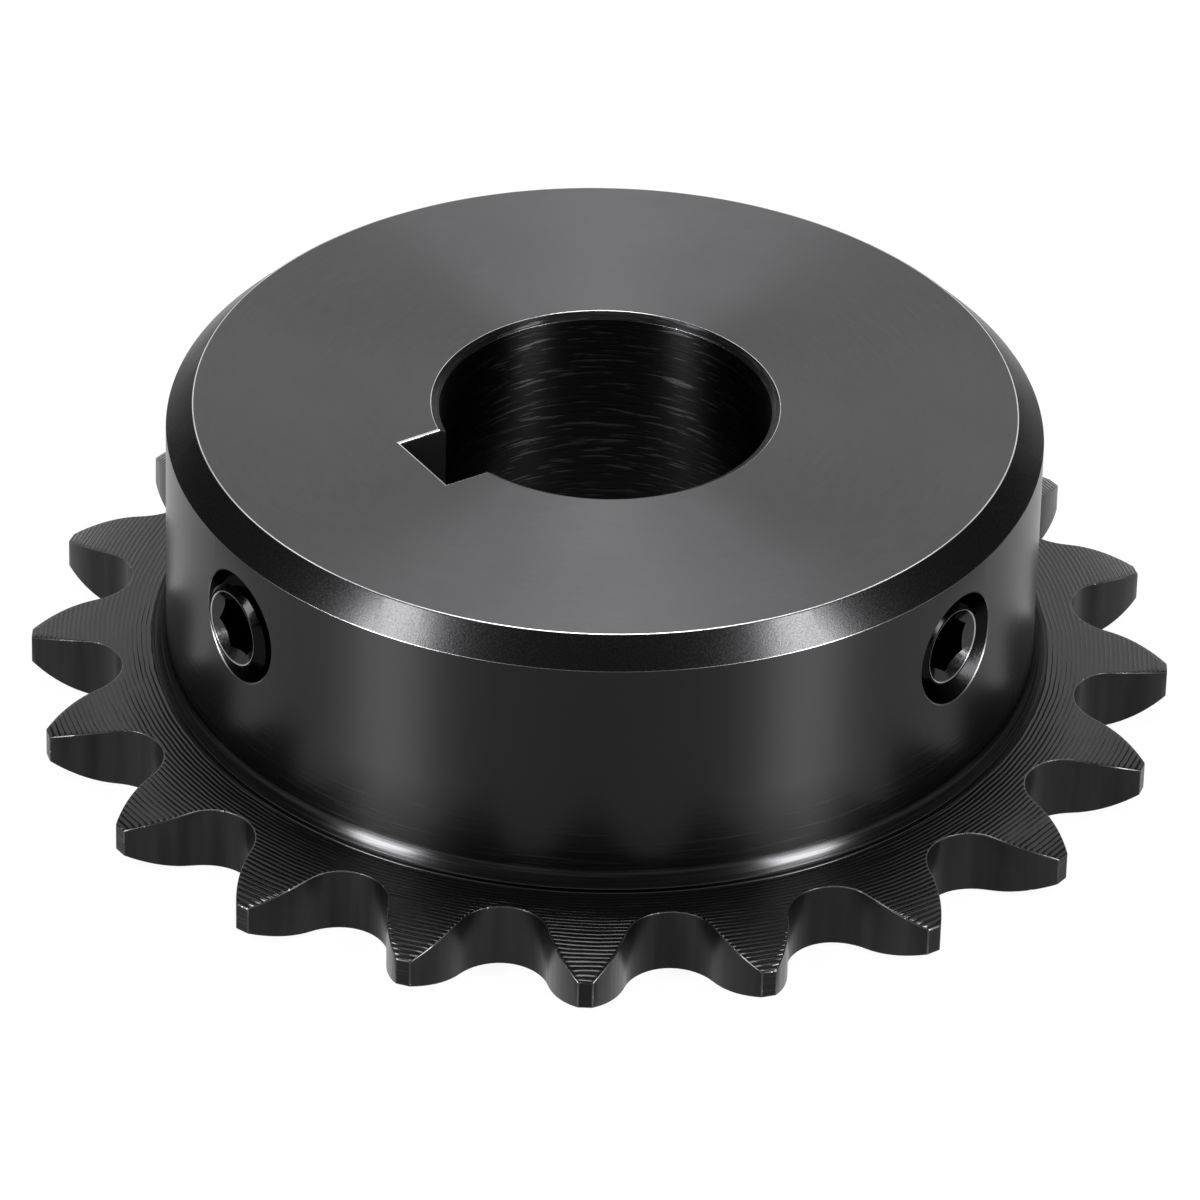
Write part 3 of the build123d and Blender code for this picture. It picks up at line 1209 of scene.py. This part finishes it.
def set_screw(name, screws, derived, tree, end, socket_turn):
    """One set screw on the Z axis, with the hub's surface at height 0 and the socket's mouth at end."""
    crest = screws.thread_radius - screws.thread_clearance
    tip = end - screw_length(screws, derived)
    past = screws.thread_pitch
    screw = threaded_rod(
        f"{name}_threaded",
        tree,
        bottom=tip - past,
        top=end + past,
        pitch=screws.thread_pitch,
        crest=crest,
        root=crest - screws.thread_depth,
        core=0.0,
        finish="screw_thread",
    )
    cup = screws.thread_radius / 2
    mouth = crest - screws.end_chamfer - screws.socket_mouth_rim
    wide = crest + past
    edge = screws.edge_round
    corners = [
        (0.0, tip + cup / tan(DRILL_HALF_ANGLE), 0.0, "", "screw_thread"),
        (cup, tip, edge, "screw_edge", "screw_thread"),
        (wide, tip + wide - cup, 0.0, "", "screw_thread"),
        (wide, end - screws.end_chamfer - (wide - crest), 0.0, "", "screw_thread"),
        (crest - screws.end_chamfer, end, edge, "screw_thread", "screw_thread"),
        (mouth, end, edge, "screw_edge", "screw_edge"),
        (mouth - edge, end - edge / tan(DRILL_HALF_ANGLE), 0.0, "", "screw_socket"),
        (0.0, end - mouth / tan(DRILL_HALF_ANGLE), 0.0, "", "screw_socket"),
    ]
    points, finishes = rounded(corners)
    combine(screw, lathe(f"{name}_envelope", points, finishes, SCREW_SIDES), "INTERSECT")
    combine(screw, socket_tool(f"{name}_socket", screws, end, socket_turn), "DIFFERENCE")
    screw.name = f"{name}_threaded"
    return screw


SOCKET_SIDES = 6
# The drill's point is blunt, and it starts a little below the floor, by this share of its size
BLUNT_SHARE = 0.02


def socket_tool(name, screws, end, socket_turn):
    """The hexagon punch with the drill's point below it."""
    flat = screws.thread_radius / 2
    corner = flat / cos(pi / SOCKET_SIDES)
    floor = end - screws.socket_depth
    section = (
        (BLUNT_SHARE * corner, floor - flat / tan(DRILL_HALF_ANGLE)),
        (flat, floor - BLUNT_SHARE * flat),
        (corner, floor),
        (corner, end + screws.thread_pitch),
    )
    turns = [socket_turn + 2 * pi * side / SOCKET_SIDES for side in range(SOCKET_SIDES)]
    rings = []
    for radius, height in section:
        rings.append([(radius * cos(turn), radius * sin(turn), height) for turn in turns])
    return prism(name, rings, ["screw_socket"] * len(rings))


# Stage, light and camera

def bearing_vector(bearing, elevation):
    """Points from the middle of the sprocket towards this bearing and elevation."""
    return Vector((cos(bearing) * cos(elevation), sin(bearing) * cos(elevation), sin(elevation)))


def area_lamp(name, location, across, upwards, width, height, radiance):
    """A rectangular lamp. It shines away from where across x upwards points."""
    lamp = bpy.data.lights.new(name, "AREA")
    lamp.shape = "RECTANGLE"
    lamp.size = width
    lamp.size_y = height
    lamp.energy = radiance * width * height * pi
    holder = add_object(name, lamp)
    holder.matrix_world = placement(across, upwards, across.cross(upwards), location)
    holder.visible_camera = False


def softbox(name, elevation, distance, width, height, radiance):
    """A lamp behind the sprocket, on the far side from the camera, that faces it."""
    stage = bpy.context.scene.sprocket_stage
    away = bearing_vector(stage.camera_bearing + pi, elevation)
    across = Vector((0, 0, 1)).cross(away).normalized()
    area_lamp(name, away * distance, across, away.cross(across), width, height, radiance)


def strip_light(name, bearing, lean, distance, width, height, radiance):
    """A lamp that stands and leans in front of the sprocket, at this bearing from the camera's."""
    stage = bpy.context.scene.sprocket_stage
    away = bearing_vector(stage.camera_bearing + bearing, 0.0)
    side = Vector((0, 0, 1)).cross(away)
    upwards = Vector((0, 0, cos(lean))) + side * sin(lean)
    across = upwards.cross(away)
    area_lamp(name, away * distance + upwards * height / 2, across, upwards, width, height, radiance)


def make_lamps():
    """A wide softbox behind the sprocket, one above it, and a strip light on each side in front."""
    softbox("back_softbox", radians(40), distance=1.0, width=1.70, height=1.10, radiance=1.28)
    softbox("top_softbox", radians(70), distance=0.8, width=0.22, height=0.42, radiance=10.0)
    strip = {"distance": 0.9, "width": 0.26, "height": 1.30, "radiance": 34.0}
    strip_light("left_strip", radians(-48), lean=radians(-13), **strip)
    strip_light("right_strip", radians(47.5), lean=radians(13), **strip)


FLOOR_SIDES = 96


def make_floor(stage):
    """A pale floor that turns up into a low backdrop all round."""
    vertices, faces = [], []
    for side in range(FLOOR_SIDES):
        turn = 2 * pi * side / FLOOR_SIDES
        x, y = stage.floor_radius * cos(turn), stage.floor_radius * sin(turn)
        vertices += [(x, y, -stage.floor_gap), (x, y, stage.backdrop_height)]
        here, there = 2 * side, 2 * ((side + 1) % FLOOR_SIDES)
        faces.append((here, here + 1, there + 1, there))
    faces.append(tuple(range(0, 2 * FLOOR_SIDES, 2)))
    mesh = bpy.data.meshes.new("floor")
    mesh.from_pydata(vertices, [], faces)
    mesh.materials.append(floor_paper(stage))
    floor = add_object("floor", mesh)


def floor_paper(stage):
    """Pale paper, nearly white where it is seen."""
    material = bpy.data.materials.new("floor_paper")
    graph = blank_graph(material)
    shade_of_paper = (stage.floor_shade, stage.floor_shade, stage.floor_shade, 1.0)
    paper = graph.node("ShaderNodeBsdfDiffuse", {"Color": shade_of_paper})
    white = graph.node("ShaderNodeEmission", {"Strength": 1.0})
    share_of_white = graph.maths("MULTIPLY", seen_rays(graph), stage.floor_white)
    mix = graph.node("ShaderNodeMixShader", {0: share_of_white, 1: paper.outputs[0], 2: white.outputs[0]})
    graph.node("ShaderNodeOutputMaterial", {"Surface": mix.outputs[0]})
    return material


def seen_rays(graph):
    """1 for rays from the camera and for what metal and glass show, and 0 for the light itself."""
    path = graph.node("ShaderNodeLightPath")
    mirrored = graph.maths("MAXIMUM", path.outputs["Is Glossy Ray"], path.outputs["Is Transmission Ray"])
    return graph.maths("MAXIMUM", path.outputs["Is Camera Ray"], mirrored)


def make_world(stage):
    """A plain dim room above the floor."""
    world = bpy.data.worlds.new("studio")
    graph = blank_graph(world)
    light = graph.node("ShaderNodeBackground", {"Color": (1.0, 1.0, 1.0, 1.0), "Strength": stage.fill})
    graph.node("ShaderNodeOutputWorld", {"Surface": light.outputs[0]})
    bpy.context.scene.world = world


def make_camera(stage):
    """A long lens on the photograph's line of sight."""
    lens = bpy.data.cameras.new("camera")
    lens.lens = stage.lens
    lens.sensor_width = 36.0
    lens.clip_start = 0.01
    lens.clip_end = 20.0
    camera = add_object("camera", lens)
    back = bearing_vector(stage.camera_bearing, stage.camera_elevation)
    level = Vector((0, 0, 1)).cross(back).normalized()
    upright = back.cross(level)
    right = level * cos(stage.camera_roll) + upright * sin(stage.camera_roll)
    up = upright * cos(stage.camera_roll) - level * sin(stage.camera_roll)
    target = Vector((0, 0, stage.target_height)) - level * stage.target_side
    camera.matrix_world = placement(right, up, back, target + back * stage.camera_distance)
    bpy.context.scene.camera = camera


class SPROCKET_OT_set_stage(bpy.types.Operator):
    """Sets the pale floor, the soft lamps and the camera"""

    bl_idname = "sprocket.set_stage"
    bl_label = "Set stage"

    def execute(self, context):
        stage = context.scene.sprocket_stage
        make_floor(stage)
        make_lamps()
        make_world(stage)
        make_camera(stage)
        context.scene.view_settings.view_transform = "Standard"
        return {"FINISHED"}


class SPROCKET_PT_panel(bpy.types.Panel):
    """Lists the steps and the sizes in the sidebar."""

    bl_label = "Chain Sprocket"
    bl_space_type = "VIEW_3D"
    bl_region_type = "UI"
    bl_category = "Sprocket"

    def draw(self, context):
        layout = self.layout
        for operator in OPERATORS:
            layout.operator(operator.bl_idname)
        for name in SETTINGS:
            box = layout.box()
            settings = getattr(context.scene, name)
            for key in settings.bl_rna.properties.keys():
                if key not in ("rna_type", "name"):
                    box.prop(settings, key)


OPERATORS = (
    SPROCKET_OT_make_finishes,
    SPROCKET_OT_cut_body,
    SPROCKET_OT_fit_set_screws,
    SPROCKET_OT_set_stage,
)
SETTINGS = {
    "sprocket_sizes": SprocketSizes,
    "sprocket_screws": SetScrewSizes,
    "sprocket_finish": FinishSettings,
    "sprocket_stage": StageSettings,
}


def register():
    """Adds the settings, the operators and the panel."""
    for name, group in SETTINGS.items():
        bpy.utils.register_class(group)
        setattr(bpy.types.Scene, name, bpy.props.PointerProperty(type=group))
    for operator in OPERATORS:
        bpy.utils.register_class(operator)
    bpy.utils.register_class(SPROCKET_PT_panel)


def unregister():
    """Takes them away again."""
    bpy.utils.unregister_class(SPROCKET_PT_panel)
    for operator in reversed(OPERATORS):
        bpy.utils.unregister_class(operator)
    for name, group in SETTINGS.items():
        delattr(bpy.types.Scene, name)
        bpy.utils.unregister_class(group)


def main():
    """Makes the sprocket, its screws and the stage."""
    register()
    bpy.ops.sprocket.make_finishes()
    bpy.ops.sprocket.cut_body()
    bpy.ops.sprocket.fit_set_screws()
    bpy.ops.sprocket.set_stage()


if __name__ == "__main__":
    main()
